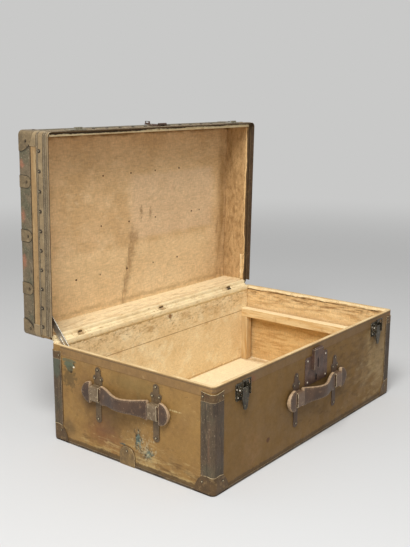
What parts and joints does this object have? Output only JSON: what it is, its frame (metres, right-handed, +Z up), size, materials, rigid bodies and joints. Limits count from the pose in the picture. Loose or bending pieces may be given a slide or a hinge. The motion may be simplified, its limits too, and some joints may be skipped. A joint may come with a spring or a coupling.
{
  "type": "travel trunk",
  "caption": "Canvas-covered wooden travel trunk with a hinged lid held by a slotted stay, draw catches, a hasp lock and leather carrying handles.",
  "frame": {"origin": "centre of the base on the floor plane, at the centre of the bottom panel's underside", "axes": "+X along the long side to the right, -Y towards the front with the lock, +Z up"},
  "size_m": [0.82, 0.5877, 0.7134],
  "materials": {
    "bottom_cover": "painted canvas, dull",
    "board": "bare softwood edge",
    "base_canvas": "ochre oil paint on canvas, worn satin",
    "base_lining": "linen-faced paper, matt",
    "rim_band": "painted canvas band, worn",
    "bottom_binding": "dark vulcanised fibre, worn",
    "fibre_strip": "brown vulcanised fibre, scuffed",
    "cap_metal": "brown lacquered steel, worn",
    "clip_metal": "brown lacquered steel, worn",
    "trim_nail": "tarnished nail heads",
    "batten": "bare softwood",
    "lid_canvas": "ochre oil paint on canvas, worn satin",
    "lid_lining": "linen-faced paper, stained, matt",
    "valance": "grey-brown vulcanised fibre, worn",
    "valance_nail": "darkened nail heads",
    "edge_binding": "grey-green worn fibre",
    "lock_metal": "rust-brown steel",
    "bright_nail": "bright worn nail heads",
    "pin_steel": "dark steel",
    "hinge_steel": "dull steel",
    "stay_steel": "worn nickelled steel",
    "catch_steel": "dark steel with bright edges",
    "hook_steel": "worn nickelled steel",
    "bracket_metal": "brown lacquered steel, worn",
    "loop_metal": "brown lacquered steel, rubbed bright",
    "strap_leather": "mauve-brown leather, pale stitched edges"
  },
  "bodies": {
    "base": {"base_bottom_panel": "bottom_cover", "base_bottom_board": "board", "base_front_board": "board", "base_rear_board": "board", "base_left_board": "board", "base_right_board": "board", "base_canvas": "base_canvas", "base_lining": "base_lining", "rim_band": "rim_band", "bottom_binding": "bottom_binding", "base_corner_strips": "fibre_strip", "base_top_caps": "cap_metal", "base_bottom_caps": "cap_metal", "base_edge_clips": "clip_metal", "base_trim_nails": "trim_nail", "left_tray_frame": "batten", "right_tray_frame": "batten", "hinge_base_leaves": "hinge_steel", "hinge_pins": "pin_steel", "stay_base_stud": "stay_steel", "lock_plate": "lock_metal", "lock_housing": "lock_metal", "front_hardware_nails": "bright_nail", "catch_plates": "catch_steel", "catch_pins": "pin_steel", "handle_brackets": "bracket_metal", "handle_loops": "loop_metal", "handle_nails": "trim_nail"},
    "lid": {"lid_top_board": "board", "lid_front_board": "board", "lid_rear_board": "board", "lid_left_board": "board", "lid_right_board": "board", "lid_canvas": "lid_canvas", "lid_lining": "lid_lining", "lid_valance": "valance", "valance_nails": "valance_nail", "lid_edge_binding": "edge_binding", "lid_corner_strips": "fibre_strip", "lid_corner_caps": "cap_metal", "lid_edge_clips": "clip_metal", "lid_trim_nails": "trim_nail", "strike_plates": "catch_steel", "hasp_plate": "lock_metal", "lid_hardware_nails": "bright_nail", "hasp_pin": "pin_steel", "hinge_lid_leaves": "hinge_steel", "stay_lid_stud": "stay_steel"},
    "stay": {"stay_bar": "stay_steel"},
    "hasp": {"hasp_tongue": "lock_metal"},
    "left_lever": {"left_catch_lever": "catch_steel"},
    "left_hook": {"left_catch_hook": "hook_steel"},
    "right_lever": {"right_catch_lever": "catch_steel"},
    "right_hook": {"right_catch_hook": "hook_steel"},
    "bolt": {"lock_bolt": "pin_steel"},
    "left_handle": {"left_end_strap": "strap_leather"},
    "front_handle": {"front_strap": "strap_leather"},
    "right_handle": {"right_end_strap": "strap_leather"}
  },
  "joints": [
    {"name": "lid_hinge", "type": "hinge", "parent": "base", "child": "lid", "pos_m": [0, 0.237, 0.229], "axis": [1, 0, 0], "range_deg": [0, 88.7]},
    {"name": "stay_pivot", "type": "hinge", "parent": "lid", "child": "stay", "pos_m": [-0.3666, 0.28005, 0.31926], "axis": [1, 0, 0], "range_deg": [-44.35, 0]},
    {"name": "hasp_hinge", "type": "hinge", "parent": "lid", "child": "hasp", "pos_m": [0, 0.22816, 0.70672], "axis": [1, 0, 0], "range_deg": [0, 180]},
    {"name": "left_lever_hinge", "type": "hinge", "parent": "base", "child": "left_lever", "pos_m": [-0.288, -0.24, 0.204], "axis": [-1, 0, 0], "range_deg": [0, 110]},
    {"name": "left_hook_hinge", "type": "hinge", "parent": "left_lever", "child": "left_hook", "pos_m": [-0.288, -0.2395, 0.192], "axis": [1, 0, 0], "range_deg": [0, 123.2]},
    {"name": "right_lever_hinge", "type": "hinge", "parent": "base", "child": "right_lever", "pos_m": [0.288, -0.24, 0.204], "axis": [-1, 0, 0], "range_deg": [0, 110]},
    {"name": "right_hook_hinge", "type": "hinge", "parent": "right_lever", "child": "right_hook", "pos_m": [0.288, -0.2395, 0.192], "axis": [1, 0, 0], "range_deg": [0, 123.2]},
    {"name": "lock_bolt_slide", "type": "slide", "parent": "base", "child": "bolt", "axis": [1, 0, 0], "range_m": [0, 0.008]},
    {"name": "left_handle_slide", "type": "slide", "parent": "base", "child": "left_handle", "axis": [0, 1, 0], "range_m": [-0.003, 0.003]},
    {"name": "front_handle_slide", "type": "slide", "parent": "base", "child": "front_handle", "axis": [1, 0, 0], "range_m": [-0.003, 0.003]},
    {"name": "right_handle_slide", "type": "slide", "parent": "base", "child": "right_handle", "axis": [0, 1, 0], "range_m": [-0.003, 0.003]}
  ],
  "couplings": [
    {"joint": "stay_pivot", "follows": "lid_hinge", "ratio": -0.5},
    {"joint": "left_hook_hinge", "follows": "left_lever_hinge", "ratio": 1.12},
    {"joint": "right_hook_hinge", "follows": "right_lever_hinge", "ratio": 1.12}
  ]
}
